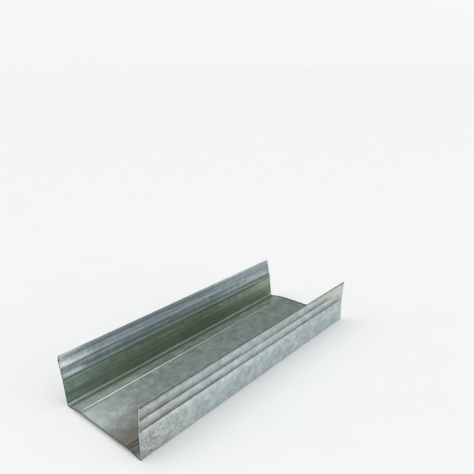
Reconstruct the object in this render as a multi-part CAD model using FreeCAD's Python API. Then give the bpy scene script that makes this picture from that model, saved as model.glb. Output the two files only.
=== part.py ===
"""Drywall track: one strip of galvanised sheet roll-formed into a U channel.

Millimetres and degrees. The section is drawn in the Y-Z plane along the middle of the sheet, as a chain of
folds, and drawn out along X. The part lies on its web, with the mouth of the channel upwards.
"""
import FreeCAD, Part
import math
import os

# Overall size
TRACK_LENGTH = 215.0
WEB_WIDTH = 75.0  # across the outside of the two bottom corners
FLANGE_HEIGHT = 35.0  # outside, from the bottom corner up the flange to its cut edge
SHEET_THICKNESS = 0.5

# Web: a level panel between two grooves, with a margin on each side that falls to the bottom corner
WEB_CROWN = 2.0  # height of the panel's underside above the floor
NEAR_WEB_GROOVE = 26.5  # from the middle of the web to the centre line of the groove on the -Y side
FAR_WEB_GROOVE = 22.3  # the same on the +Y side
WEB_GROOVE_WIDTH = 3.2
WEB_GROOVE_DEPTH = 0.6  # pressed towards the floor

# Flanges: two grooves pressed towards the channel, with a plain lip above them
NEAR_LIP_WIDTH = 9.2  # cut edge to the centre line of the upper groove, on the -Y side
FAR_LIP_WIDTH = 7.9  # the same on the +Y side
GROOVE_PITCH = 7.7  # between the centre lines of the two grooves
FLANGE_GROOVE_WIDTH = 5.4
FLANGE_GROOVE_DEPTH = 0.8
NEAR_LEAN = 0.5  # of the flange on the -Y side, outwards from upright
FAR_LEAN = 6.0  # of the flange on the +Y side, which is sprung open
LIP_FLARE = 5.0  # by which a flange leans out more above its lower groove

# Bends, measured on the inside of the sheet
CORNER_RADIUS = 0.7
GROOVE_RADIUS = 1.0  # at the bottom of every groove, and at the edges of the web's
SHOULDER_RADIUS = 7.0  # at the edges of a flange's groove


def vec(y, z):
    return FreeCAD.Vector(0.0, y, z)


def left_of(step):
    return vec(-step.z, step.y)


def leaning(degrees):
    """Direction up a flange on the +Y side that leans outwards by this angle."""
    return vec(math.sin(math.radians(degrees)), math.cos(math.radians(degrees)))


def groove_folds(centre, before, after, pressed, width, shoulder):
    """Three folds of a groove that is met along the direction before and left along the direction after."""
    points = [centre - before * (width / 2), centre + pressed, centre + after * (width / 2)]
    return list(zip(points, (shoulder, GROOVE_RADIUS, shoulder)))


def half_section(lean, web_groove, lip_width):
    """Folds from the web's panel out to the cut edge of a flange, on the +Y side: (point, inside radius)."""
    across, down = vec(1.0, 0.0), vec(0.0, -WEB_GROOVE_DEPTH)
    web_centre = vec(web_groove, WEB_CROWN + SHEET_THICKNESS / 2)
    folds = groove_folds(web_centre, across, across, down, WEB_GROOVE_WIDTH, GROOVE_RADIUS)

    # The bend of the corner stands on the floor, and the margin runs into it from the edge of the groove
    bend = CORNER_RADIUS + SHEET_THICKNESS / 2
    bend_centre = vec(WEB_WIDTH / 2 - CORNER_RADIUS - SHEET_THICKNESS, CORNER_RADIUS + SHEET_THICKNESS)
    sight = bend_centre - folds[-1][0]
    fall = math.asin(bend / sight.Length) - math.atan2(sight.z, sight.y)
    margin = vec(math.cos(fall), -math.sin(fall))
    flat, lip = leaning(lean), leaning(lean + LIP_FLARE)
    corner = bend_centre - (flat - margin) * (bend / left_of(margin).dot(flat))
    folds.append((corner, CORNER_RADIUS))

    inwards = left_of(lip) * FLANGE_GROOVE_DEPTH
    lower = corner + flat * (FLANGE_HEIGHT - lip_width - GROOVE_PITCH)
    upper = lower + lip * GROOVE_PITCH
    folds += groove_folds(lower, flat, lip, inwards, FLANGE_GROOVE_WIDTH, SHOULDER_RADIUS)
    folds += groove_folds(upper, lip, lip, inwards, FLANGE_GROOVE_WIDTH, SHOULDER_RADIUS)
    folds.append((upper + lip * lip_width, 0.0))
    return folds


def sheet_side(folds, offset):
    """Edges of one face of the sheet, which lies at offset to the left of the line through its middle."""
    points = [point for point, radius in folds]
    spans = [b - a for a, b in zip(points, points[1:])]
    steps = [span / span.Length for span in spans]
    start = points[0] + left_of(steps[0]) * offset
    edges = []
    for i in range(1, len(points) - 1):
        arriving, leaving = steps[i - 1], steps[i]
        turn = math.copysign(arriving.getAngle(leaving), left_of(arriving).dot(leaving))
        if abs(turn) < 1e-6:
            continue
        # A bend takes at most half of the flat on either side of it
        longest = 0.49 * min(spans[i - 1].Length, spans[i].Length)
        radius = min(folds[i][1] + SHEET_THICKNESS / 2, longest / math.tan(abs(turn) / 2))
        reach = radius * math.tan(abs(turn) / 2)
        centre = points[i] - arriving * reach + left_of(arriving) * math.copysign(radius, turn)
        outwards = (points[i] - centre) / (points[i] - centre).Length
        before = points[i] - arriving * reach + left_of(arriving) * offset
        middle = centre + outwards * (radius - math.copysign(1.0, turn) * offset)
        after = points[i] + leaving * reach + left_of(leaving) * offset
        edges.append(Part.LineSegment(start, before).toShape())
        edges.append(Part.Arc(before, middle, after).toShape())
        start = after
    edges.append(Part.LineSegment(start, points[-1] + left_of(steps[-1]) * offset).toShape())
    return edges


def cut_edge(start, end):
    return Part.LineSegment(start.Point, end.Point).toShape()


near_half = half_section(NEAR_LEAN, NEAR_WEB_GROOVE, NEAR_LIP_WIDTH)
far_half = half_section(FAR_LEAN, FAR_WEB_GROOVE, FAR_LIP_WIDTH)
folds = [(vec(-point.y, point.z), radius) for point, radius in near_half[::-1]] + far_half
inside = sheet_side(folds, SHEET_THICKNESS / 2)
outside = sheet_side(folds, -SHEET_THICKNESS / 2)
far_cut = cut_edge(inside[-1].lastVertex(), outside[-1].lastVertex())
near_cut = cut_edge(outside[0].firstVertex(), inside[0].firstVertex())
outline = Part.Wire(inside + [far_cut] + outside[::-1] + [near_cut])
track = Part.Face(outline).extrude(FreeCAD.Vector(TRACK_LENGTH, 0.0, 0.0))

# The origin is the middle of the rectangle that the track covers on the floor
middle = track.BoundBox.Center
track.translate(FreeCAD.Vector(-middle.x, -middle.y, 0.0))

os.makedirs("parts", exist_ok=True)
track.exportStep("parts/track.step")
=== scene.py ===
# %% [markdown]
# # A drywall track in galvanised steel
#
# A drywall track is a strip of thin galvanised sheet, folded by rollers into a shallow U. It is screwed to a
# floor or a ceiling, where a light wall begins or ends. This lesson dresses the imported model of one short
# length of it: the same strip is folded again with a finer mesh, and then gets its zinc, its cut edges and a
# small studio.

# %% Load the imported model
import math

import bmesh
import bpy
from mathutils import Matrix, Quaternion, Vector, noise


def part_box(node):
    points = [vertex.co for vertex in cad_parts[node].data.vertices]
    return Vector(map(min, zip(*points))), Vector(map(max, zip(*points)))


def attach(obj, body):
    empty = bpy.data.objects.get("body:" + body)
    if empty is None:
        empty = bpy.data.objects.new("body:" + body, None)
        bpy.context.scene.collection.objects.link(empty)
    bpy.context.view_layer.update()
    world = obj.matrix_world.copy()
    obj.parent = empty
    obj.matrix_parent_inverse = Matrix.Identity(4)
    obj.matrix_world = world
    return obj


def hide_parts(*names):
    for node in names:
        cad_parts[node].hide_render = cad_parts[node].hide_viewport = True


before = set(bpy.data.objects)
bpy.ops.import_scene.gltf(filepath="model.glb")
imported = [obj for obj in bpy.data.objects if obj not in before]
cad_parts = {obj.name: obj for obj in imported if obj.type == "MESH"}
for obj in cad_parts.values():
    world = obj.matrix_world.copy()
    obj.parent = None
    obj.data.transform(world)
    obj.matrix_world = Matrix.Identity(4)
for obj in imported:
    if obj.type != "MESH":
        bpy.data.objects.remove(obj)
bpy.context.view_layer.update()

MM = 0.001
node_low, node_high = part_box("track")
LENGTH = node_high.x - node_low.x

# %% [markdown]
# ## The section of the strip
#
# Seen from its end, the track is one line of sheet, 0.5 mm thick, that runs down one flange, across the web
# and up the other flange. Rollers pressed two grooves into each of the three sides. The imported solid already
# has this section, but with flat faces as long as the track, which leaves nothing to bend. So the line is
# drawn again here from the same sizes, as a chain of folds. Each fold is a point in the middle of the sheet,
# with the radius on the inside of its bend.

# %% Sizes of the section
WEB_WIDTH = 75 * MM
FLANGE_HEIGHT = 35 * MM
SHEET = 0.5 * MM
WEB_CROWN = 2.0 * MM  # height of the web's panel above the floor
NEAR_WEB_GROOVE = 26.5 * MM  # from the middle of the web
FAR_WEB_GROOVE = 22.3 * MM
WEB_GROOVE_WIDTH = 3.2 * MM
WEB_GROOVE_DEPTH = 0.6 * MM
NEAR_LIP_WIDTH = 9.2 * MM  # cut edge to the upper groove
FAR_LIP_WIDTH = 7.9 * MM
GROOVE_PITCH = 7.7 * MM
FLANGE_GROOVE_WIDTH = 5.4 * MM
FLANGE_GROOVE_DEPTH = 0.8 * MM
NEAR_LEAN = 0.5  # degrees outwards from upright, flange on the -Y side
FAR_LEAN = 6.0  # flange on the +Y side, which is sprung open
LIP_FLARE = 5.0  # a flange leans out more above its lower groove
CORNER_RADIUS = 0.7 * MM
GROOVE_RADIUS = 1.0 * MM  # bottom of every groove, and edges of the web's
SHOULDER_RADIUS = 7.0 * MM  # edges of a flange's groove
print("web", WEB_WIDTH / MM, "flanges", FLANGE_HEIGHT / MM, "sheet", SHEET / MM, "mm")


# %% Folds of the section
def left_of(step):
    return Vector((-step.y, step.x))


def leaning(degrees):
    return Vector((math.sin(math.radians(degrees)), math.cos(math.radians(degrees))))


def groove_folds(centre, before, after, pressed, width, shoulder):
    points = [centre - before * (width / 2), centre + pressed, centre + after * (width / 2)]
    return list(zip(points, (shoulder, GROOVE_RADIUS, shoulder)))


def half_section(lean, web_groove, lip_width, depth_share):
    """Folds as (y, z) from the web's panel out to the cut edge of the flange on the +Y side."""
    across = Vector((1.0, 0.0))
    web_centre = Vector((web_groove, WEB_CROWN + SHEET / 2))
    pressed_down = Vector((0.0, -WEB_GROOVE_DEPTH * depth_share))
    folds = groove_folds(web_centre, across, across, pressed_down, WEB_GROOVE_WIDTH, GROOVE_RADIUS)

    # The bend of the corner stands on the floor, and the margin of the web runs into it
    bend = CORNER_RADIUS + SHEET / 2
    bend_centre = Vector((WEB_WIDTH / 2 - CORNER_RADIUS - SHEET, CORNER_RADIUS + SHEET))
    sight = bend_centre - folds[-1][0]
    fall = math.asin(bend / sight.length) - math.atan2(sight.y, sight.x)
    margin = Vector((math.cos(fall), -math.sin(fall)))
    flat, lip = leaning(lean), leaning(lean + LIP_FLARE)
    corner = bend_centre - (flat - margin) * (bend / left_of(margin).dot(flat))
    folds.append((corner, CORNER_RADIUS))

    pressed_in = left_of(lip) * (FLANGE_GROOVE_DEPTH * depth_share)
    lower = corner + flat * (FLANGE_HEIGHT - lip_width - GROOVE_PITCH)
    upper = lower + lip * GROOVE_PITCH
    folds += groove_folds(lower, flat, lip, pressed_in, FLANGE_GROOVE_WIDTH, SHOULDER_RADIUS)
    folds += groove_folds(upper, lip, lip, pressed_in, FLANGE_GROOVE_WIDTH, SHOULDER_RADIUS)
    folds.append((upper + lip * lip_width, 0.0))
    return folds


def whole_section(depth_share):
    """Folds from the near cut edge to the far one, with grooves of this share of their full depth."""
    near = half_section(NEAR_LEAN, NEAR_WEB_GROOVE, NEAR_LIP_WIDTH, depth_share)
    far = half_section(FAR_LEAN, FAR_WEB_GROOVE, FAR_LIP_WIDTH, depth_share)
    return [(Vector((-p.x, p.y)), radius) for p, radius in near[::-1]] + far


print("folds and cut edges along the section:", len(whole_section(1.0)))

# %% [markdown]
# ## Points along the section
#
# A bend needs points close together and a flat needs only a few, so an even spacing would waste most of the
# mesh. This walk places a point every few degrees round a bend and every few millimetres on a flat. It also
# notes how free the sheet is to buckle at each point: not at all in a bend, which is stiff, and most in the
# middle of a flat and at the free edge of a lip.

# %% Points of one bend and one flat
FLAT_STEP = 2.5 * MM
ARC_SHARE = 0.49  # a bend takes at most this share of the flats beside it


def bend_at(folds, i):
    """Where the bend at fold i starts and ends, its centre, radius and signed turn, and the way into it."""
    before, here, after = (folds[i + k][0] for k in (-1, 0, 1))
    arriving, leaving = (here - before).normalized(), (after - here).normalized()
    turn = math.atan2(left_of(arriving).dot(leaving), arriving.dot(leaving))
    shortest = min((here - before).length, (after - here).length)
    half_tan = math.tan(abs(turn) / 2)
    radius = min(folds[i][1] + SHEET / 2, ARC_SHARE * shortest / half_tan)
    start = here - arriving * (radius * half_tan)
    end = here + leaving * (radius * half_tan)
    centre = start + left_of(arriving) * math.copysign(radius, turn)
    return start, end, centre, radius, turn, arriving


def bend_points(centre, radius, turn, arriving, steps):
    """(point, direction towards the channel, room to buckle) round a bend, which has no such room."""
    for k in range(steps + 1):
        cos, sin = math.cos(turn * k / steps), math.sin(turn * k / steps)
        heading = Vector((arriving.x * cos - arriving.y * sin, arriving.x * sin + arriving.y * cos))
        yield centre - left_of(heading) * math.copysign(radius, turn), left_of(heading), 0.0


def flat_steps(folds, i):
    """Steps on the flat before fold i, counted from fold to fold so that shallow grooves give as many."""
    return max(1, round((folds[i][0] - folds[i - 1][0]).length / FLAT_STEP))


def flat_points(start, end, steps, first=False, last=False):
    """The same on a flat, without its ends, but with the cut edge of the first and the last flat."""
    inward = left_of((end - start).normalized())
    for k in range(0 if first else 1, steps + (1 if last else 0)):
        t = k / steps
        free = 1 - t if first else t if last else math.sin(math.pi * t)
        yield start.lerp(end, t), inward, free * (end - start).length


print("a flat gets a point every", FLAT_STEP / MM, "mm or so")

# %% Walk along the section
GROOVE_BEND_STEPS = 6
CORNER_BEND_STEPS = 14


def walk(folds):
    """All points of the section, from the near cut edge to the far one."""
    points = []
    start = folds[0][0]
    for i in range(1, len(folds) - 1):
        end, after_bend, *bend = bend_at(folds, i)
        points += flat_points(start, end, flat_steps(folds, i), first=i == 1)
        steps = CORNER_BEND_STEPS if folds[i][1] == CORNER_RADIUS else GROOVE_BEND_STEPS
        points += bend_points(*bend, steps)
        start = after_bend
    points += flat_points(start, folds[-1][0], flat_steps(folds, -1), last=True)
    return points


full_line = walk(whole_section(1.0))
strip_at = [0.0]  # distance of each point from the near cut edge, along the sheet
for (a, _, _), (b, _, _) in zip(full_line, full_line[1:]):
    strip_at.append(strip_at[-1] + (b - a).length)
STRIP_WIDTH = strip_at[-1]
print(len(full_line), "points across a strip", round(STRIP_WIDTH / MM, 1), "mm wide before it was folded")

# %% [markdown]
# ## What the rollers and the shear left
#
# Thin sheet is never quite flat, and that is what makes its reflections waver. Three small things are added
# to the plain section. The flats buckle by about a tenth of a millimetre. The grooves get shallower where the
# shear cut through them and pressed them flat. The corners of the lips at the near end are a little rounded,
# and the cut itself wanders by less than a tenth. A Displace modifier could do some of this, but with a
# formula for each point the lips and the ends move only inwards, so the track keeps its box.

# %% Buckles
BUCKLE = 0.004  # height of a buckle as a share of the flat's width
BUCKLE_LENGTH = 34 * MM
LIP_BUCKLE = 0.018  # a lip's free edge buckles more, and only inwards
BUCKLE_SEED = 3.7  # another number here gives another pattern


def buckle(i, x):
    """How far the sheet is pushed out of its plane at this place."""
    wave = noise.noise(Vector((x / BUCKLE_LENGTH, strip_at[i] / BUCKLE_LENGTH, BUCKLE_SEED)))
    room = full_line[i][2]
    on_lip = min(i, len(full_line) - 1 - i) * FLAT_STEP < FAR_LIP_WIDTH
    if on_lip:
        return (0.5 + 0.5 * wave) * LIP_BUCKLE * room
    return wave * BUCKLE * room


print("a lip's edge buckles by at most", round(LIP_BUCKLE * full_line[0][2] / MM, 2), "mm")

# %% Grooves and corners at the cuts
END_GROOVE = 0.2  # share of a groove's depth that is left at the cut
NEAR_FADE = 4.2 * MM  # how far from the cut the groove has its full depth again
FAR_FADE = 14.0 * MM
NEAR_LIP_ROUND = 0.3 * MM  # radius of the lip's corner at the near end, near flange
FAR_LIP_ROUND = 0.9 * MM
CUT_WANDER = 0.08 * MM
CUT_WANDER_LENGTH = 9 * MM
CUT_SEED = 0.3
NEAR_END, FAR_END = 0, 1
ENDS_APART = 5.0  # in the noise, so that the two cuts differ

eased_line = walk(whole_section(END_GROOVE))


def corner_cut(distance, radius):
    """How far a rounded corner draws the end in, at this distance from the lip's cut edge."""
    if distance >= radius:
        return 0.0
    return radius - math.sqrt(radius ** 2 - (radius - distance) ** 2)


def end_cut(i, end):
    """How far the near or the far cut lies inside the full length at this place on the strip."""
    wander = noise.noise(Vector((strip_at[i] / CUT_WANDER_LENGTH, end * ENDS_APART, CUT_SEED)))
    inset = CUT_WANDER * (0.5 + 0.5 * wander)
    if end == NEAR_END:
        inset += corner_cut(STRIP_WIDTH - strip_at[i], FAR_LIP_ROUND)
        inset += corner_cut(strip_at[i], NEAR_LIP_ROUND)
    return inset


print("grooves fade over", NEAR_FADE / MM, "and", FAR_FADE / MM, "mm to", END_GROOVE, "of their depth")

# %% [markdown]
# ## Painted shade and highlights in the grooves, outside
#
# Above the bottom of a flange's groove a dark line fades upwards, and below it the groove is bright. Both
# are painted light, a painted shade and a painted highlight for what the slopes of the groove would mirror.
# They are uneven: strong at the near end, weak in the middle, and gone from the upper groove before the far
# end. They could be painted by hand on an image, but the shape of the groove tells where they lie. So each
# point of the mesh gets two numbers from 0 to 1, how far it is darkened, by painted shade and by real drag of
# the rollers, and how bright its painted highlight is, and the material reads them as attributes.

# %% Where the grooves lie on the strip
NEAR_BOTTOMS, FAR_BOTTOMS = (2, 5), (19, 16)  # folds at the bottom of a flange's upper and lower groove
WEB_BOTTOMS = (9, 12)  # of the web's near and far groove
FAR_CORNER = 14


def strip_place(fold):
    """Where a fold lies across the strip."""
    point = whole_section(1.0)[fold][0]
    return strip_at[min(range(len(full_line)), key=lambda i: (full_line[i][0] - point).length)]


bottom_at = {fold: strip_place(fold) for fold in NEAR_BOTTOMS + WEB_BOTTOMS + FAR_BOTTOMS}
corner_at = strip_place(FAR_CORNER)
print("groove bottoms lie at", [round(v / MM, 1) for v in bottom_at.values()], "mm across the strip")

# %% Strength of a mark, away from a groove and along the track
BOTTOM = 0.35 * MM  # half the width of a groove's bottom
SHADE_MIDDLE, SHADE_MIDDLE_REACH = 110 * MM, 55 * MM  # from the near end: where the painted shade is weakest
SHADE_LEAST, SHADE_TO_ENDS, SHADE_TO_FAR_END = 0.7, 0.6, 0.2
FAR_RISE = (150 * MM, 190 * MM)  # nothing at the first place and full at the second, as in all such pairs
SHADE_PATCH = 11 * MM
SHADE_UNEVEN = 0.5
SHADE_SEED, UPPER_ROW, LOWER_ROW = 0.7, 4.0, 9.0  # places in the noise
SHADE_START = 1.6 * MM  # the painted shade fades out over this width at the near cut
SHADE_STOP = (2 * MM, 10 * MM)  # from the far cut
UPPER_STOP = (14 * MM, 30 * MM)  # the same in the upper groove


def ramp(value, none_at, full_at):
    """Goes smoothly from 0 at one place to 1 at another, which may lie on either side of it."""
    t = min(max((value - none_at) / (full_at - none_at), 0.0), 1.0)
    return t * t * (3 - 2 * t)


def fading(distance, reach):
    """Rises over half a groove's bottom and then fades: 0 on the other side of the bottom."""
    if distance <= 0:
        return 0.0
    return min(distance / BOTTOM, math.exp(-max(distance - BOTTOM, 0.0) / reach))


def groove_shade_share(along, upper):
    """How strong the painted shade in a groove is at this distance from the near end."""
    left = LENGTH - along
    share = SHADE_LEAST + SHADE_TO_ENDS * ramp(abs(along - SHADE_MIDDLE), 0, SHADE_MIDDLE_REACH)
    share += SHADE_TO_FAR_END * ramp(along, *FAR_RISE)
    row = UPPER_ROW if upper else LOWER_ROW
    share *= 1 + SHADE_UNEVEN * noise.noise(Vector((along / SHADE_PATCH, row, SHADE_SEED)))
    share *= ramp(along, 0, SHADE_START) * ramp(left, *SHADE_STOP)
    return share * ramp(left, *UPPER_STOP) if upper else share


fifths = [LENGTH * k / 5 for k in range(1, 5)]
print("drag in the lower groove at each fifth:", [round(groove_shade_share(d, upper=False), 2) for d in fifths])

# %% Darker patches on the near flange
UPPER_DARKENING = 0.14  # darker in patches above the lower groove
DARK_PATCH_LENGTH, DARK_PATCH_WIDTH = 7 * MM, 3 * MM
DARK_PATCH_UNEVEN, DARK_PATCH_SEED = 1.2, 5.1
LIP_TOP = 5 * MM  # the lip is lighter near its cut edge, and towards the far end
LIP_STOP = (40 * MM, 75 * MM)  # from the far cut


def darkness(across, along):
    """How much darker the outside of the near flange is at this place, in patches above its lower groove."""
    if across >= bottom_at[NEAR_BOTTOMS[1]]:
        return 0.0
    spot = Vector((along / DARK_PATCH_LENGTH, across / DARK_PATCH_WIDTH, DARK_PATCH_SEED))
    patch = 1 + DARK_PATCH_UNEVEN * noise.noise(spot)
    if across < bottom_at[NEAR_BOTTOMS[0]]:
        patch *= ramp(across, 0, LIP_TOP) * ramp(LENGTH - along, *LIP_STOP)
    return UPPER_DARKENING * patch


print("dullness in the middle of the lip", round(darkness(NEAR_LIP_WIDTH / 2, LENGTH / 2), 3))

# %% Painted shade and highlights on the outside
MARK_REACH = 0.6 * GROOVE_PITCH  # no mark lies further from its groove
SHADE_FADE, HIGHLIGHT_FADE = 2.2 * MM, 1.8 * MM
HIGHLIGHT, HIGHLIGHT_STOP = 0.5, (0, 90 * MM)
KNIFE_REACH = 1.6 * MM  # of the edge that the slitting knife rolled over
KNIFE_DRAG, KNIFE_DRAG_TO_FAR_END, KNIFE_RISE = 0.35, 0.5, (60 * MM, 10 * MM)
END_STEP = 0.7 * MM  # between the first points of the mesh beside a cut
BURR_SHADE, BURR_SHADE_STOP = 0.25, (3.2 * MM, 1.2 * MM)  # painted shade behind the burr on the end of the near flange


def outside_marks(i, along):
    """(darkening by painted shade and real drag, painted highlight) at a place on the outside of the sheet."""
    across, left = strip_at[i], LENGTH - along
    shades_and_drags, highlights = [0.0], [0.0]
    # Above each groove's bottom lies a painted shade, and below it a painted highlight
    for upper, fold in zip((True, False, True, False), NEAR_BOTTOMS + FAR_BOTTOMS):
        up = bottom_at[fold] - across if fold in NEAR_BOTTOMS else across - bottom_at[fold]
        if abs(up) < MARK_REACH:
            shades_and_drags.append(fading(up, SHADE_FADE) * groove_shade_share(along, upper))
            highlights.append(HIGHLIGHT * fading(-up, HIGHLIGHT_FADE) * ramp(left, *HIGHLIGHT_STOP))
    knife = KNIFE_DRAG + KNIFE_DRAG_TO_FAR_END * ramp(left, *KNIFE_RISE)
    shades_and_drags.append(knife * (1 - across / KNIFE_REACH))
    drag_and_shade = max(shades_and_drags) + darkness(across, along)
    # On the near flange: painted shade just behind the burr at the near end, and a painted highlight on the
    # cut end
    if across < bottom_at[WEB_BOTTOMS[0]]:
        drag_and_shade = max(drag_and_shade, BURR_SHADE * ramp(along, 0, END_STEP) * ramp(along, *BURR_SHADE_STOP))
        highlights.append(ramp(along, END_STEP, 0))
    return drag_and_shade, max(highlights)


print("on the near cut edge:", [round(v, 2) for v in outside_marks(0, LENGTH / 2)])

# %% [markdown]
# ## Painted highlights and shade, inside
#
# Inside, the far flange is in view. Its two grooves get a painted highlight for the first centimetres and
# painted shade after that, and the zinc is dragged in the grooves of the web. Along the near cut lies painted
# shade, and dirt has settled along the web's far cut, where the sheet was handled. A painted image could hold
# all this too, but as on the outside, the distance to a groove or a cut gives it with a few numbers.

# %% Painted highlights and shade on the inside
FAR_MARKS = [  # groove; length, start above its bottom and reach in mm of the painted highlight; share of it that fades; painted shade after it
    (FAR_BOTTOMS[0], 31, -0.6, 2.8, 0.8, 0.45),
    (FAR_BOTTOMS[1], 20, 0.35, 2.0, 0.5, 0.8),
]
FAR_SHADE_RISE, FAR_SHADE_STOP = (0, 0.8 * MM), (4.3 * MM, 2.8 * MM)
WEB_DRAG = (0.35, 0.8)  # in the web's near and far groove
WEB_DRAG_STOP = (1.3 * MM, 0.1 * MM)
# painted shade beside the near cut, on the inside
NEAR_CUT_SHADE = 0.6
FAR_CUT_DIRT_STOP = (2.6 * MM, 1.04 * MM)  # from the far cut
FACING_UP = 0.7  # least upward part of the direction inwards, on the web


def inside_marks(i, along):
    """(darkening by painted shade, drag and dirt, painted highlight) at a place on the inside of the sheet."""
    across, left = strip_at[i], LENGTH - along
    shades_and_drags, highlights = [NEAR_CUT_SHADE * ramp(along, END_STEP, 0)], [0.0]
    for fold, length, start, reach, fade, darkening in FAR_MARKS:
        up = across - bottom_at[fold]
        if abs(up) < MARK_REACH:
            # A painted highlight on the groove's first centimetres, and painted shade after it
            bright = ramp(along, length * MM, (1 - fade) * length * MM)
            highlights.append(fading(up - start * MM, reach * MM) * bright)
            shades_and_drags.append(darkening * (1 - bright) * ramp(up, *FAR_SHADE_RISE) * ramp(up, *FAR_SHADE_STOP))
    for fold, darkening in zip(WEB_BOTTOMS, WEB_DRAG):
        up = across - bottom_at[fold]
        if 0 <= up < WEB_GROOVE_WIDTH / 2:
            shades_and_drags.append(darkening * ramp(up, *WEB_DRAG_STOP))
    if full_line[i][1].y > FACING_UP:
        shades_and_drags.append(ramp(left, *FAR_CUT_DIRT_STOP))
    return max(shades_and_drags), max(highlights)


print("in the middle of the web:", inside_marks(len(full_line) // 2, LENGTH / 2))

# %% [markdown]
# ## The sheet as a mesh
#
# The strip could be a curve with a bevel, or a plane with the Solidify modifier. A grid in bmesh is chosen,
# because each face of the sheet then stands at exactly half the thickness from the middle line, also round
# the bends, and the thin cut edges can have a material of their own. A UV map keeps each point's place on the
# flat strip in metres, so that the zinc can lie on the strip as it did before the folding. The outside takes
# its pattern from another place on the map than the inside does.

# %% Stations along the track
STATION_STEP = 2.8 * MM

end_stations = [k * END_STEP for k in range(round(NEAR_FADE / END_STEP) + 1)]
middle_count = round((LENGTH - 2 * end_stations[-1]) / STATION_STEP)
middle_step = (LENGTH - 2 * end_stations[-1]) / middle_count
stations = end_stations + [end_stations[-1] + k * middle_step for k in range(1, middle_count)]
stations += [LENGTH - d for d in reversed(end_stations)]
print(len(stations), "stations, closest at the cuts")

# %% Points of the sheet
INSIDE, OUTSIDE = 0, 1  # faces of the sheet


def sheet_points(i, along):
    """The inside and outside points of the sheet at one place, as (x, y, z)."""
    near, far = end_cut(i, NEAR_END), end_cut(i, FAR_END)
    x = -LENGTH / 2 + near + (LENGTH - near - far) * along / LENGTH
    depth = min(ramp(along, 0, NEAR_FADE), ramp(LENGTH - along, 0, FAR_FADE))
    middle = eased_line[i][0].lerp(full_line[i][0], depth)
    inward = eased_line[i][1].lerp(full_line[i][1], depth).normalized()
    push = buckle(i, x)
    # A flange buckles sideways and the web up and down
    middle += Vector((inward.x, 0.0)) * push if abs(inward.x) > abs(inward.y) else Vector((0.0, push))
    return [Vector((x, *(middle + inward * (side * SHEET / 2)))) for side in (1, -1)]


mesh = bmesh.new()
grid = {}
for j, along in enumerate(stations):
    for i in range(len(full_line)):
        for side, point in zip((INSIDE, OUTSIDE), sheet_points(i, along)):
            grid[side, j, i] = mesh.verts.new(point)
print(len(grid), "points on the two faces")

# %% Faces of the sheet
OUTSIDE_MAP = 1.0  # metres between the inside's and the outside's places on the map
ZINC, CUT = 0, 1  # material slots

strip_map = mesh.loops.layers.uv.new("strip")
drag_and_shade_layer = mesh.loops.layers.float.new("drag_and_shade")
painted_highlight_layer = mesh.loops.layers.float.new("painted_highlight")


def add_face(corners, slot):
    face = mesh.faces.new([grid[corner] for corner in corners])
    face.material_index = slot
    face.smooth = True
    for loop, (side, j, i) in zip(face.loops, corners):
        loop[strip_map].uv = (loop.vert.co.x, strip_at[i] + side * OUTSIDE_MAP)
        marks = outside_marks(i, stations[j]) if side == OUTSIDE else inside_marks(i, stations[j])
        loop[drag_and_shade_layer], loop[painted_highlight_layer] = (min(max(mark, 0.0), 1.0) for mark in marks)


last_j, last_i = len(stations) - 1, len(full_line) - 1
for j in range(last_j):
    for i in range(last_i):
        add_face([(INSIDE, j, i), (INSIDE, j + 1, i), (INSIDE, j + 1, i + 1), (INSIDE, j, i + 1)], ZINC)
        add_face([(OUTSIDE, j, i), (OUTSIDE, j, i + 1), (OUTSIDE, j + 1, i + 1), (OUTSIDE, j + 1, i)], ZINC)
for i in range(last_i):
    add_face([(INSIDE, 0, i), (INSIDE, 0, i + 1), (OUTSIDE, 0, i + 1), (OUTSIDE, 0, i)], CUT)
    add_face(
        [(INSIDE, last_j, i + 1), (INSIDE, last_j, i), (OUTSIDE, last_j, i), (OUTSIDE, last_j, i + 1)], CUT
    )
for j in range(last_j):
    add_face([(INSIDE, j, 0), (OUTSIDE, j, 0), (OUTSIDE, j + 1, 0), (INSIDE, j + 1, 0)], CUT)
    add_face(
        [(INSIDE, j, last_i), (INSIDE, j + 1, last_i), (OUTSIDE, j + 1, last_i), (OUTSIDE, j, last_i)], CUT
    )
print(len(mesh.faces), "faces")

# %% Track as an object
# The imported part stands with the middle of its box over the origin
sideways = (min(v.co.y for v in mesh.verts) + max(v.co.y for v in mesh.verts)) / 2
bmesh.ops.translate(mesh, verts=mesh.verts, vec=(0, -sideways, 0))
for edge in mesh.edges:
    edge.smooth = len({face.material_index for face in edge.link_faces}) == 1
track_mesh = bpy.data.meshes.new("track_sheet")
mesh.to_mesh(track_mesh)
mesh.free()
track = bpy.data.objects.new("track_sheet", track_mesh)
bpy.context.scene.collection.objects.link(track)
print(track.name, "was moved sideways by", round(-sideways / MM, 2), "mm")

# %% [markdown]
# ## The edge left by the shear
#
# A shear rolls one edge of the sheet over and leaves a small burr on the other, so no edge is knife sharp.
# More rows in the grid could round the edges too, but the Bevel modifier finds them by itself. It rounds the
# edges between the faces and the cut, which catches a thin line of light.

# %% Round the sheared edges
EDGE_ROUND = 0.07 * MM
SHARP_ANGLE = 60  # degrees between a face and a cut, at the least

rounding = track.modifiers.new("sheared_edge", "BEVEL")
rounding.width = EDGE_ROUND
rounding.segments = 2
rounding.limit_method = "ANGLE"
rounding.angle_limit = math.radians(SHARP_ANGLE)
rounding.harden_normals = True

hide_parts("track")
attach(track, "root")
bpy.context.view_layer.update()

# %% [markdown]
# ## Tools for materials
#
# Colours are written as the eye and a paint program know them, in sRGB hex, and Blender wants them linear, so
# one function converts them. A second one adds a node to a tree, with its settings and with each input set to
# a value or linked. A link comes from a socket, or from a node, which then gives its first output.

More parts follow.
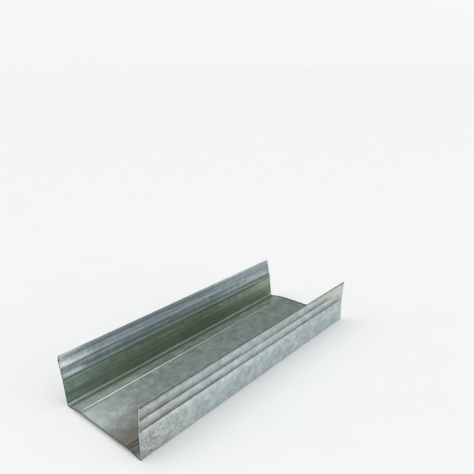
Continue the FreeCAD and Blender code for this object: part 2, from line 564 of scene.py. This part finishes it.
# %% Colour and node helpers
COLOUR_A, COLOUR_B, MIXED_COLOUR = 6, 7, 2  # sockets of the Mix node when it mixes colours
COLOURS = {"data_type": "RGBA"}  # settings that many nodes share
SMOOTH = {"interpolation_type": "SMOOTHSTEP"}
ON_STRIP = {"noise_dimensions": "2D"}


def colour(hex_code):
    parts = [int(hex_code[k:k + 2], 16) / 255 for k in (0, 2, 4)]
    return [c / 12.92 if c <= 0.04045 else ((c + 0.055) / 1.055) ** 2.4 for c in parts] + [1.0]


def add(tree, kind, inputs=None, **settings):
    made = tree.nodes.new("ShaderNode" + kind)
    for name, value in settings.items():
        setattr(made, name, value)
    for socket, value in (inputs or {}).items():
        if isinstance(value, bpy.types.Node):
            value = value.outputs[0]
        if isinstance(value, bpy.types.NodeSocket):
            tree.links.new(value, made.inputs[socket])
        else:
            made.inputs[socket].default_value = value
    return made


def new_material(name):
    material = bpy.data.materials.new(name)
    material.use_nodes = True
    material.node_tree.nodes.clear()
    return material, material.node_tree


print("a mid grey, hex 808080, is", round(colour("808080")[0], 3), "in linear light")

# %% [markdown]
# ## Hot-dip galvanised steel
#
# The strip was dipped in molten zinc, which froze in crystals a few millimetres wide, called spangle. A skin
# pass between rollers then dulled it. What the eye gets is a grey metal with a faint patchwork, fine lines
# along the strip from the rollers, and cloudy blotches where the zinc has begun to weather, most at the near
# end. Painting that as an image would fix its size, so it is made of noise, with each scale worked out from a
# real size. First come masks that tell where on the strip a point lies, and then the patterns alone.

# %% Places on the strip
WEATHERED_MOST, WEATHERED_LEAST = -107 * MM, -45 * MM  # along the track

steel, tree = new_material("galvanised_steel_skin_passed")
strip = add(tree, "UVMap", uv_map="strip")
strip_x, strip_y, _ = add(tree, "SeparateXYZ", {0: strip}).outputs
inside = add(tree, "Math", {0: strip_y, 1: OUTSIDE_MAP / 2}, operation="LESS_THAN")
outside = add(tree, "Math", {0: 1.0, 1: inside}, operation="SUBTRACT")
weathered = add(
    tree, "MapRange", {"Value": strip_x, "From Min": WEATHERED_LEAST, "From Max": WEATHERED_MOST}, **SMOOTH
)
weathered_outside = add(tree, "Math", {0: outside, 1: weathered}, operation="MULTIPLY")
print("weathered over", (WEATHERED_LEAST - WEATHERED_MOST) / MM, "mm")

# %% Clouds and specks
BLOTCH = 6 * MM
SPECK = 1.5 * MM
DIRT = 2.2 * MM
STAIN = 20 * MM
TARNISH = 7 * MM
GRAIN = 0.35 * MM

blotch = add(
    tree, "TexNoise", {"Vector": strip, "Scale": 1 / BLOTCH, "Detail": 4.0, "Roughness": 0.62}, **ON_STRIP
)
speck = add(tree, "TexNoise", {"Vector": strip, "Scale": 1 / SPECK, "Detail": 2.0}, **ON_STRIP)
dirt = add(tree, "TexNoise", {"Vector": strip, "Scale": 1 / DIRT, "Detail": 0.0}, **ON_STRIP)
stain = add(tree, "TexNoise", {"Vector": strip, "Scale": 1 / STAIN, "Detail": 2.0}, **ON_STRIP)
tarnish = add(tree, "TexNoise", {"Vector": strip, "Scale": 1 / TARNISH, "Detail": 2.0}, **ON_STRIP)
grain = add(tree, "TexNoise", {"Vector": strip, "Scale": 1 / GRAIN, "Detail": 1.0}, **ON_STRIP)
print("patterns from", GRAIN / MM, "to", STAIN / MM, "mm")

# %% Lines along the strip and marks across it
ROLL_LINE_WIDTH = 0.8 * MM  # real ones are finer: this is as fine as the picture can show
ROLL_LINE_LENGTH = 70 * MM
CHATTER_STEP = 1.2 * MM  # marks across the strip, where a roller skipped
CHATTER_REACH = 8 * MM

line_scale = (1 / ROLL_LINE_LENGTH, 1 / ROLL_LINE_WIDTH, 1.0)
lengthways = add(tree, "Mapping", {"Vector": strip, "Scale": line_scale})
lines = add(tree, "TexNoise", {"Vector": lengthways, "Scale": 1.0, "Detail": 2.0}, **ON_STRIP)
chatter_scale = (1 / CHATTER_STEP, 1 / CHATTER_REACH, 1.0)
crossways = add(tree, "Mapping", {"Vector": strip, "Scale": chatter_scale})
chatter = add(tree, "TexNoise", {"Vector": crossways, "Scale": 1.0, "Detail": 2.0}, **ON_STRIP)
print("rolling lines", ROLL_LINE_WIDTH / MM, "mm wide and", ROLL_LINE_LENGTH / MM, "mm long")

# %% Patchwork of crystals and clouds
SPANGLE = 4.5 * MM
SPANGLE_WARP = 0.4 * SPANGLE  # bends the straight borders of the crystals
CRYSTAL_SHARE = 0.3  # the rest of the patchwork is clouds

warp = add(tree, "TexNoise", {"Vector": strip, "Scale": 1 / SPANGLE, "Detail": 2.0}, **ON_STRIP)
warped = add(
    tree, "VectorMath", {0: warp.outputs["Color"], 1: (SPANGLE_WARP,) * 3, 2: strip}, operation="MULTIPLY_ADD"
)
spangle = add(tree, "TexVoronoi", {"Vector": warped, "Scale": 1 / SPANGLE}, voronoi_dimensions="2D")
crystal = add(tree, "SeparateColor", {"Color": spangle.outputs["Color"]})
cloud = add(tree, "MapRange", {"Value": blotch, "From Min": 0.36, "From Max": 0.64})
flecks = add(tree, "MapRange", {"Value": speck, "From Min": 0.3, "From Max": 0.7})
fleck_share = add(tree, "MapRange", {"Value": weathered, "To Min": 0.3, "To Max": 0.55})
cloudy = add(tree, "Mix", {0: fleck_share, 2: cloud, 3: flecks}, data_type="FLOAT")
mottled = add(tree, "Mix", {0: CRYSTAL_SHARE, 2: cloudy, 3: crystal}, data_type="FLOAT")
darkest = add(tree, "MapRange", {"Value": weathered_outside, "To Min": -0.1, "To Max": 0.24})
palest = add(tree, "MapRange", {"Value": weathered_outside, "To Min": 1.1, "To Max": 0.77})
patchwork = add(tree, "MapRange", {"Value": mottled, "From Min": darkest, "From Max": palest})
print(steel.name, "has", len(tree.nodes), "nodes so far")

# %% [markdown]
# ## The zinc, its film and its lines
#
# The patchwork goes from a blue grey to a pale one, and all the rest of the colour lies over it like thin
# coats. Each coat is a mask, a colour and a way of laying it on. Mix nodes could be chained by hand for them,
# but here they are gathered in a list, so that one loop can lay them all at the end. The first is the greenish
# film of the passivation, which the inside kept because nothing rubbed it; away from the near end it is
# darker, and that part is painted shade. Then come a cool blue cast on the outside away from the near end,
# which is painted light, a darker near end of the outside, and the lines of the rollers, which show more on
# the inside.

# %% Bare zinc, film and painted shade
LIP_START = 4 * MM  # the film changes over this width at the far flange's lower groove

lip_at = bottom_at[FAR_BOTTOMS[1]]
coats = []
bare_zinc = add(
    tree, "Mix", {0: patchwork, COLOUR_A: colour("A2A7A9"), COLOUR_B: colour("E4E9E5")}, **COLOURS
)
film_and_shade = add(tree, "Mix", {0: weathered, COLOUR_A: colour("D2E1D9"), COLOUR_B: colour("F0FCF6")}, **COLOURS)
on_lip = add(tree, "MapRange", {"Value": strip_y, "From Min": lip_at, "From Max": lip_at + LIP_START})
inside_film_and_shade = add(
    tree, "Mix", {0: on_lip, COLOUR_A: film_and_shade.outputs[MIXED_COLOUR], COLOUR_B: colour("EEF9FF")}, **COLOURS
)
cool_cast = add(tree, "Math", {0: outside, 1: weathered}, operation="SUBTRACT", use_clamp=True)
darker_near_end = add(tree, "Math", {0: weathered_outside, 1: 0.3}, operation="MULTIPLY")
# the film, darker away from the near end, where it is painted shade
coats.append((inside, inside_film_and_shade.outputs[MIXED_COLOUR], "MULTIPLY"))
# a cool cast on the outside away from the near end, painted light
coats.append((cool_cast, "F3FCFF", "MULTIPLY"))
# the outside darker at its near end
coats.append((darker_near_end, "8C9391", "MIX"))
print(len(coats), "coats")

# %% Rolling lines
on_far_lip = add(tree, "Math", {0: on_lip, 1: inside}, operation="MULTIPLY")
most_on_side = add(tree, "MapRange", {"Value": inside, "To Min": 0.25, "To Max": 0.6})
most_line = add(tree, "Math", {0: on_far_lip, 1: 0.25, 2: most_on_side}, operation="MULTIPLY_ADD")
line_share = add(tree, "MapRange", {"Value": lines, "From Min": 0.35, "From Max": 0.65, "To Max": most_line})
line_tint = add(
    tree, "Mix", {0: on_far_lip, COLOUR_A: colour("9CA5A2"), COLOUR_B: colour("8A959C")}, **COLOURS
)
coats.append((line_share, line_tint.outputs[MIXED_COLOUR], "MIX"))
print(len(coats), "coats")

# %% [markdown]
# ## Painted light on the web, stains and tarnish
#
# The web is paler at the near end, on its far half: painted light, for the light that falls there more than
# deeper in the channel. Warm stains about two centimetres wide lie all over the strip, most on its weathered
# outside. Over them goes a tarnish of faint colours, like the sheen of oil on water. Noise in each channel
# could be mixed by hand, but a soft-light mix with coloured noise is enough, because it shifts the hue and
# hardly the brightness.

# %% Painted light on the web, stains and tarnish
NEAR_WEB_LIGHT_REACH = 37 * MM  # from the near end
NEAR_WEB_LIGHT_EDGE = (STRIP_WIDTH / 2 - 16 * MM, STRIP_WIDTH / 2 + 6 * MM)  # across the web: none yet, and full

near_web_light = add(
    tree,
    "MapRange",
    {"Value": strip_x, "From Min": -LENGTH / 2 + NEAR_WEB_LIGHT_REACH, "From Max": -LENGTH / 2, "To Max": 0.6},
    **SMOOTH,
)
before_corner = add(tree, "Math", {0: strip_y, 1: corner_at}, operation="LESS_THAN")
far_half = add(
    tree, "MapRange", {"Value": strip_y, "From Min": NEAR_WEB_LIGHT_EDGE[0], "From Max": NEAR_WEB_LIGHT_EDGE[1]}, **SMOOTH
)
on_web = add(tree, "Math", {0: before_corner, 1: far_half}, operation="MULTIPLY")
near_web_light_share = add(tree, "Math", {0: near_web_light, 1: on_web}, operation="MULTIPLY")
most_stain = add(tree, "MapRange", {"Value": weathered_outside, "To Min": 0.3, "To Max": 0.85})
stain_share = add(tree, "MapRange", {"Value": stain, "From Min": 0.5, "From Max": 0.75, "To Max": most_stain})
tarnish_share = add(tree, "MapRange", {"Value": weathered, "To Min": 0.05, "To Max": 0.2})
# painted light: the far half of the web paler at the near end
coats.append((near_web_light_share, "E0E8E8", "MIX"))
coats.append((stain_share, "B6B4A6", "MIX"))
coats.append((tarnish_share, tarnish.outputs["Color"], "SOFT_LIGHT"))
print(len(coats), "coats")

# %% [markdown]
# ## Stains and painted light in spots
#
# A few places have a colour of their own: yellow stains on the near flange and a black spot at the near end
# of the far lip. Others are painted light: a painted shade and reflection on the web at the near end, beside
# the near flange, a painted highlight on the near end of the far lip, and two white painted glints at the near
# end of the near flange. Each is a ball of colour around a point in space, and the blotches make its border
# ragged. That is quicker to place than a painted mask, and it stays where it is when the mesh changes.

# %% Stains and painted light in spots
SPOTS_OF_STAIN_AND_LIGHT = [  # middle and half size in mm, colour, share
    ((-99, -23, 1.5), (31, 17, 5), "858176", 0.85),  # painted shade and reflection on the web at the near end, beside the near flange
    ((-90, -12, 2.5), (40, 19, 5), "8E8C84", 0.4),
    ((-95, -41, 26), (4, 4, 9), "BEBEA2", 0.45),  # yellow stains on the near flange
    ((-73, -41, 24), (3.5, 4, 13), "BBBBA0", 0.4),
    ((98, -41, 28), (34, 4, 9), "DADBC0", 0.5),
    ((-109, 39, 30), (10, 4, 8), "FAFDFF", 0.6),  # painted highlight on the near end of the far lip
    ((-107.5, -40.6, 34.6), (1.5, 1.5, 1.5), "FFFFFF", 1.0),  # painted glints at the near end of the near flange
    ((-107.5, -39.6, 27.2), (1.0, 1.5, 1.3), "FFFFFF", 1.0),
    ((-107.5, 39.6, 32.4), (1.6, 1.6, 1.6), "14110E", 1.0),  # a black spot at the near end of the far lip
]
RAGGED = 0.8  # how far the blotches eat into a smudge

in_space = add(tree, "TexCoord").outputs["Object"]
for middle, half_size, tint, most in SPOTS_OF_STAIN_AND_LIGHT:
    offset = add(tree, "VectorMath", {0: in_space, 1: [v * MM for v in middle]}, operation="SUBTRACT")
    scaled = add(tree, "VectorMath", {0: offset, 1: [v * MM for v in half_size]}, operation="DIVIDE")
    away = add(tree, "VectorMath", {0: scaled}, operation="LENGTH").outputs["Value"]
    ragged = add(tree, "Math", {0: blotch, 1: RAGGED, 2: away}, operation="MULTIPLY_ADD")
    stain_and_light_share = add(
        tree, "MapRange", {"Value": ragged, "From Min": 1.5, "From Max": 0.6, "To Max": most}, **SMOOTH
    )
    coats.append((stain_and_light_share, tint, "MIX"))
print(len(coats), "coats")

# %% [markdown]
# ## Streaks
#
# Along the bends and grooves lie long thin streaks. Most are painted light: painted shade in the far corner,
# low on the far flange, below its lower groove, on the near margin of the web and in the near flange's lower
# groove at the far end; painted highlights on the bend of the far corner, between the far flange's grooves
# and on the top of the near lip; and bright and dark painted lines along the web's far groove and on the far
# lip. One is colour, a greenish margin on the web. Smudges drawn out long could show some of them, but a
# streak keeps its distance from a bend or a groove. So it is a band on the flat strip, where all of them are
# straight. It fades to both sides and to both ends, and the clouds make it uneven.

# %% Streaks
near_groove_at, groove_at = (bottom_at[fold] for fold in WEB_BOTTOMS)
flange_at = bottom_at[NEAR_BOTTOMS[1]] + OUTSIDE_MAP
ALL_ALONG = (0, 10 * LENGTH / MM)  # far longer than the track
STREAKS = [  # measured from where; how far on, half width, middle x and half length in mm; colour, share
    (corner_at, -2.1, 4.0, *ALL_ALONG, "3E443C", 1.0),  # painted shade in the far corner
    (corner_at, 6.0, 9.0, *ALL_ALONG, "505440", 0.54),  # painted shade low on the far flange
    (corner_at, 0.9, 0.95, *ALL_ALONG, "F4FFF8", 1.4),  # painted highlight on the bend between them
    (lip_at, -0.6, 1.3, *ALL_ALONG, "565A5E", 0.6),  # painted shade below the lower groove
    (near_groove_at, -4.8, 7.0, -107, 50, "3A362F", 1.0),  # painted shade on the near margin of the web, beside the near flange
    (near_groove_at, 1.5, 2.2, -107, 50, "444137", 0.9),
    (groove_at, -1.2, 1.4, *ALL_ALONG, "F2F8F6", 0.6),  # painted highlights and shade along the web's far groove
    (groove_at, 1.0, 1.8, -112, 22, "8C9490", 0.6),
    (groove_at, 0.9, 0.7, -55, 45, "FFFFFF", 0.5),
    (groove_at, 2.3, 1.0, *ALL_ALONG, "8A9490", 0.5),
    (groove_at, 7.5, 8.0, *ALL_ALONG, "D0E6D8", 0.5),  # greenish margin beside it
    # paler at the near end: painted light, as on the web's far half
    (groove_at, 5.0, 6.0, -82, 28, "F4FFF8", 0.4),
    (STRIP_WIDTH, -10.2, 0.7, -78, 21, "FFFFFF", 1.0),  # painted highlights and shade on the far lip
    (STRIP_WIDTH, -9.2, 0.8, -107, 45, "5E686E", 0.75),
    (STRIP_WIDTH, -4.2, 1.1, -107, 65, "F0F5F8", 0.55),
    (STRIP_WIDTH, -2.6, 1.4, 0, 110, "5E686E", 0.75),
    (STRIP_WIDTH, 0.0, 2.2, -107, 20, "FFFFFF", 1.0),
    (lip_at, 4.2, 2.0, -105, 24, "E8F0F6", 0.3),  # painted highlight between the far flange's grooves
    (OUTSIDE_MAP, 2.6, 2.4, -100, 50, "D4DCE0", 0.4),  # painted highlight on the top of the near lip
    (flange_at, 1.7, 1.8, 107, 70, "A0A8AA", 0.4),  # painted shade in the near flange's lower groove, at the far end
]
FULL_LENGTH = 0.6  # share of a streak's half length that has its full strength
print(len(STREAKS), "streaks")

# %% Masks of the streaks
uneven = add(tree, "MapRange", {"Value": cloud, "To Min": 0.65, "To Max": 1.0})
for start, further, half_width, middle_x, half_length, tint, most in STREAKS:
    sideways_off = add(tree, "Math", {0: strip_y, 1: start + further * MM}, operation="SUBTRACT")
    off_line = add(tree, "Math", {0: sideways_off}, operation="ABSOLUTE")
    across_it = add(
        tree,
        "MapRange",
        {"Value": off_line, "From Min": half_width * MM, "From Max": 0.0, "To Max": most},
        **SMOOTH,
    )
    lengthways_off = add(tree, "Math", {0: strip_x, 1: middle_x * MM}, operation="SUBTRACT")
    off_middle = add(tree, "Math", {0: lengthways_off}, operation="ABSOLUTE")
    along_it = add(
        tree,
        "MapRange",
        {"Value": off_middle, "From Min": half_length * MM, "From Max": FULL_LENGTH * half_length * MM},
        **SMOOTH,
    )
    band = add(tree, "Math", {0: across_it, 1: along_it}, operation="MULTIPLY")
    streak = add(tree, "Math", {0: band, 1: uneven}, operation="MULTIPLY")
    coats.append((streak, tint, "MIX"))
print(len(coats), "coats")

# %% [markdown]
# ## Painted shade low on the far flange, skipped rollers and specks
#
# Low on the inside of the far flange lies painted shade, brownish and with thin streaks. Above it the rollers
# skipped, which left faint marks across the lip. Outside, at the weathered end, there are small specks of
# dirt. The painted shade lets the metal shine through it, so its coats multiply. The others hide the metal,
# so they are mixed in.

# %% Painted shade low on the far flange
LOW_SHADE_TOP = (lip_at + 0.9 * MM, lip_at - 1.0 * MM)  # across the strip: none left, and full

past_corner = add(tree, "Math", {0: strip_y, 1: corner_at}, operation="GREATER_THAN")
below_groove = add(
    tree, "MapRange", {"Value": strip_y, "From Min": LOW_SHADE_TOP[0], "From Max": LOW_SHADE_TOP[1]}, **SMOOTH
)
low_shade_share = add(tree, "Math", {0: past_corner, 1: below_groove}, operation="MULTIPLY")
low_shade = add(tree, "Mix", {0: weathered, COLOUR_A: colour("EEECDE"), COLOUR_B: colour("EFF2ED")}, **COLOURS)
shade_lines = add(tree, "MapRange", {"Value": lines, "From Min": 0.35, "From Max": 0.65})
shade_streaks = add(tree, "Mix", {0: shade_lines, COLOUR_A: colour("FFFFFF"), COLOUR_B: colour("D8DCD6")}, **COLOURS)
# painted shade, brownish, and its thin streaks
coats.append((low_shade_share, low_shade.outputs[MIXED_COLOUR], "MULTIPLY"))
coats.append((low_shade_share, shade_streaks.outputs[MIXED_COLOUR], "MULTIPLY"))
print(len(coats), "coats")

# %% Skipped rollers and specks
SKIP_AT = -80 * MM  # along the track, where the rollers skipped most
SKIP_REACH = 32 * MM

skip_off = add(tree, "Math", {0: strip_x, 1: SKIP_AT}, operation="SUBTRACT")
from_skip = add(tree, "Math", {0: skip_off}, operation="ABSOLUTE")
most_skip = add(
    tree,
    "MapRange",
    {"Value": from_skip, "From Min": SKIP_REACH, "From Max": SKIP_REACH / 4, "To Min": 0.2, "To Max": 0.6},
)
chattered = add(tree, "MapRange", {"Value": chatter, "From Min": 0.45, "From Max": 0.75, "To Max": most_skip})
skip_share = add(tree, "Math", {0: chattered, 1: on_far_lip}, operation="MULTIPLY")
specked = add(tree, "MapRange", {"Value": dirt, "From Min": 0.72, "From Max": 0.86, "To Max": 0.6})
speck_share = add(tree, "Math", {0: specked, 1: weathered_outside}, operation="MULTIPLY")
coats.append((skip_share, "7C868A", "MIX"))
coats.append((speck_share, "565D5B", "MIX"))
print(len(coats), "coats")

# %% [markdown]
# ## Painted shade, highlights and drag marks, and all coats together
#
# The last coats come from the mesh's two attributes: the darkening, which is mostly painted shade and partly
# real drag marks and dirt, and the painted highlight. The specks break up the darkened places, more on the
# outside, so that no mark looks drawn with a ruler. Then a loop lays each coat over what is there, as a
# painter would.

# %% Painted shade, highlights and drag marks
drag_and_shade = add(tree, "Attribute", attribute_name="drag_and_shade").outputs["Fac"]
painted_highlight = add(tree, "Attribute", attribute_name="painted_highlight").outputs["Fac"]
least = add(tree, "MapRange", {"Value": inside, "To Min": 0.36, "To Max": 0.75})
broken = add(tree, "MapRange", {"Value": speck, "From Min": 0.32, "From Max": 0.56, "To Min": least})
dark_share = add(tree, "Math", {0: drag_and_shade, 1: broken}, operation="MULTIPLY")
bright_share = add(tree, "Math", {0: painted_highlight, 1: 0.5}, operation="MULTIPLY")
# painted shade, with the real drag marks and dirt
coats.append((dark_share, "525B5E", "MIX"))
# painted highlight
coats.append((bright_share, "EEF2F2", "MIX"))
print(len(coats), "coats in all")

# %% Lay the coats on
finished = bare_zinc.outputs[MIXED_COLOUR]
for share, tint, way in coats:
    coat = colour(tint) if isinstance(tint, str) else tint
    laid = add(tree, "Mix", {0: share, COLOUR_A: finished, COLOUR_B: coat}, blend_type=way, **COLOURS)
    finished = laid.outputs[MIXED_COLOUR]
print(steel.name, "has", len(tree.nodes), "nodes so far")

# %% [markdown]
# ## Reflections of the zinc
#
# Zinc is a metal, so all the rest is reflection: duller in the pale patches, and stretched across the rolling
# lines, as on any brushed or rolled metal. The lines could be modelled only by a mesh far too fine to handle,
# so they and the grain are a bump, about a hundredth of a millimetre high at most.

# %% Shader of the zinc
STRETCH = 0.75  # of the reflections
ACROSS_LINES = 0.25  # of a full turn
GRAIN_HEIGHT = 0.003 * MM
LINE_HEIGHT = 0.012 * MM

gloss = add(tree, "MapRange", {"Value": patchwork, "To Min": 0.32, "To Max": 0.46})
tangent = add(tree, "Tangent", direction_type="UV_MAP", uv_map="strip")
grained = add(tree, "Bump", {"Height": grain, "Distance": GRAIN_HEIGHT, "Strength": 1.0})
rolled = add(tree, "Bump", {"Height": lines, "Distance": LINE_HEIGHT, "Strength": 1.0, "Normal": grained})
zinc_shader = add(
    tree,
    "BsdfPrincipled",
    {
        "Base Color": finished,
        "Metallic": 1.0,
        "Roughness": gloss,
        "Anisotropic": STRETCH,
        "Anisotropic Rotation": ACROSS_LINES,
        "Tangent": tangent,
        "Normal": rolled,
    },
)
add(tree, "OutputMaterial", {"Surface": zinc_shader})
track_mesh.materials.append(steel)
print(steel.name, "has", len(tree.nodes), "nodes and is on slot", ZINC)

# %% [markdown]
# ## Sheared steel
#
# At a cut the zinc ends and the bare steel shows, torn rough by the shear and browned by the first rust. It
# reads as a thin dark line round the sheet, so it is darker and duller than the zinc, with specks of rust. It
# is near black, darker than bare steel, and that part is painted shade, for the shade along the cut ends. A
# second material is simpler here than one more mask, because the cut has faces of its own.

# %% Cut edge
RUST_SPECK = 1.6 * MM

cut_steel, tree = new_material("sheared_steel")
rust = add(
    tree,
    "TexNoise",
    {"Vector": add(tree, "TexCoord").outputs["Object"], "Scale": 1 / RUST_SPECK, "Detail": 3.0},
)
rust_share = add(tree, "MapRange", {"Value": rust, "From Min": 0.45, "From Max": 0.7})
# rust colours, darkened further as painted shade along the cut ends
edge_tint = add(
    tree, "Mix", {0: rust_share, COLOUR_A: colour("26231F"), COLOUR_B: colour("2E2015")}, **COLOURS
)
edge_gloss = add(tree, "MapRange", {"Value": rust, "To Min": 0.4, "To Max": 0.65})
cut_shader = add(
    tree,
    "BsdfPrincipled",
    {"Base Color": edge_tint.outputs[MIXED_COLOUR], "Metallic": 1.0, "Roughness": edge_gloss},
)
add(tree, "OutputMaterial", {"Surface": cut_shader})
track_mesh.materials.append(cut_steel)
print(cut_steel.name, "is on slot", CUT)

# %% [markdown]
# ## The floor
#
# The track lies on a wide sheet of pale paper. Blender's own plane would do as well, but a mesh of four known
# corners needs no operator. The floor is large, so that its far edge is lost at the horizon, and a little
# warm and cool fibre in its colour keeps it from looking computed.

# %% Floor
FLOOR_REACH = 30.0  # metres

floor_mesh = bpy.data.meshes.new("floor")
floor_corners = [(x * FLOOR_REACH, y * FLOOR_REACH, 0.0) for x, y in ((-1, -1), (1, -1), (1, 1), (-1, 1))]
floor_mesh.from_pydata(floor_corners, [], [(0, 1, 2, 3)])
floor = bpy.data.objects.new("floor", floor_mesh)
bpy.context.scene.collection.objects.link(floor)
print("floor", 2 * FLOOR_REACH, "m wide")

# %% Paper
FIBRE = 40 * MM  # real fibre is far finer: this is a cloudiness that the picture can show

paper, tree = new_material("white_paper")
fibre = add(
    tree, "TexNoise", {"Vector": add(tree, "TexCoord").outputs["Object"], "Scale": 1 / FIBRE, "Detail": 3.0}
)
paper_tint = add(tree, "Mix", {0: fibre, COLOUR_A: colour("F5F6F6"), COLOUR_B: colour("F8F8F7")}, **COLOURS)
paper_shader = add(
    tree, "BsdfPrincipled", {"Base Color": paper_tint.outputs[MIXED_COLOUR], "Roughness": 0.9}
)
add(tree, "OutputMaterial", {"Surface": paper_shader})
floor_mesh.materials.append(paper)
print(paper.name, "is on the floor")

# %% [markdown]
# ## Light
#
# Metal shows its surroundings, so the studio is built for what the track mirrors. Lamps with hard borders
# would draw their outlines on the zinc, so the lights are painted into the world instead, as soft glows: each
# is brightest in one direction and fades away from it. Two stand in front like a pale wall and fill the far
# flange, two stand behind on the left, and a weak one stands over the near end. Four high ones in a ring,
# strong over the far end and behind and weaker elsewhere, give each side of the channel a brightness of its
# own. The strongest hangs overhead and lights the floor. All round the horizon the world is as pale as the
# floor.

# %% Horizon
HORIZON, DIM_SKY = "F4F6F6", "3E403E"
HORIZON_TOP, DIM_START = math.sin(math.radians(6)), math.sin(math.radians(17))

world = bpy.data.worlds.new("studio")
bpy.context.scene.world = world
world.use_nodes = True
tree = world.node_tree
tree.nodes.clear()
direction = add(tree, "TexCoord").outputs["Generated"]
height = add(tree, "SeparateXYZ", {0: direction}).outputs["Z"]
up_wall = add(tree, "MapRange", {"Value": height, "From Min": HORIZON_TOP, "From Max": DIM_START}, **SMOOTH)
wall = add(tree, "Mix", {0: up_wall, COLOUR_A: colour(HORIZON), COLOUR_B: colour(DIM_SKY)}, **COLOURS)
sky = wall.outputs[MIXED_COLOUR]
print(world.name, "has a horizon in", HORIZON)

# %% Glows
GLOWS = [  # degrees round from +X, degrees up, how quickly it fades, strength, colour
    (-72, 8, 8.5, 0.90, "F4F9FF"),  # in front
    (-75, 32, 9.0, 0.70, "FAFCFF"),
    (136, 10, 9.0, 0.42, "F8FCFF"),  # behind, on the left
    (146, 32, 9.0, 0.52, "F8FCFF"),
    (-170, 42, 9.0, 0.25, "FFFFFF"),  # over the near end
    (0, 58, 9.0, 1.02, "FFFFFF"),  # the high ring: over the far end, behind, over the near end, in front
    (120, 58, 9.0, 0.90, "FFFFFF"),
    (-160, 58, 9.0, 0.45, "FFFFFF"),
    (-60, 58, 9.0, 0.22, "FAFCFF"),
    (0, 90, 9.0, 1.34, "FFFFFF"),  # overhead
]

for round_by, up_by, falloff, strength, tint in GLOWS:
    azimuth, elevation = math.radians(round_by), math.radians(up_by)
    level = math.cos(elevation)
    middle = (math.cos(azimuth) * level, math.sin(azimuth) * level, math.sin(elevation))
    facing = add(tree, "VectorMath", {0: direction, 1: middle}, operation="DOT_PRODUCT").outputs["Value"]
    power = add(tree, "Math", {0: facing, 1: falloff, 2: -falloff}, operation="MULTIPLY_ADD")
    share = add(tree, "Math", {0: math.e, 1: power}, operation="POWER")
    light = [strength * c for c in colour(tint)[:3]]
    glow = add(tree, "VectorMath", {0: light, "Scale": share}, operation="SCALE")
    sky = add(tree, "VectorMath", {0: sky, 1: glow}, operation="ADD")
background = add(tree, "Background", {"Color": sky, "Strength": 1.0})
add(tree, "OutputWorld", {"Surface": background})
print(len(GLOWS), "soft lights in the world")

# %% [markdown]
# ## Camera
#
# The camera stands where the photograph was taken from: left of the near end of the track and in front of it,
# about 30 cm from that end and 20 cm up. The place was found by fitting the corners of the track to their
# pixels. A Track To constraint could aim the camera, but it would undo the slight roll of the picture, so the
# rotation is worked out here.

# %% Camera
CAMERA_PLACE = Vector((-239.5, -229.7, 206.4)) * MM
CAMERA_AIM = Vector((30.2, 9.0, 84.3)) * MM
CAMERA_ROLL = math.radians(-1.01)
LENS, SENSOR = 38.38, 36.0  # millimetres of lens and of a square sensor's side
NEAREST, FURTHEST = 0.01, 100.0  # metres that the camera sees

camera_data = bpy.data.cameras.new("camera")
camera_data.lens = LENS
camera_data.sensor_width = SENSOR
camera_data.clip_start = NEAREST
camera_data.clip_end = FURTHEST
camera = bpy.data.objects.new("camera", camera_data)
bpy.context.scene.collection.objects.link(camera)
camera.location = CAMERA_PLACE
camera.rotation_mode = "QUATERNION"
looking = (CAMERA_AIM - CAMERA_PLACE).to_track_quat("-Z", "Y")
camera.rotation_quaternion = looking @ Quaternion((0, 0, 1), CAMERA_ROLL)
bpy.context.scene.camera = camera
bpy.context.scene.view_settings.view_transform = "Standard"
print("camera is", round((CAMERA_AIM - CAMERA_PLACE).length, 3), "m from what it aims at")
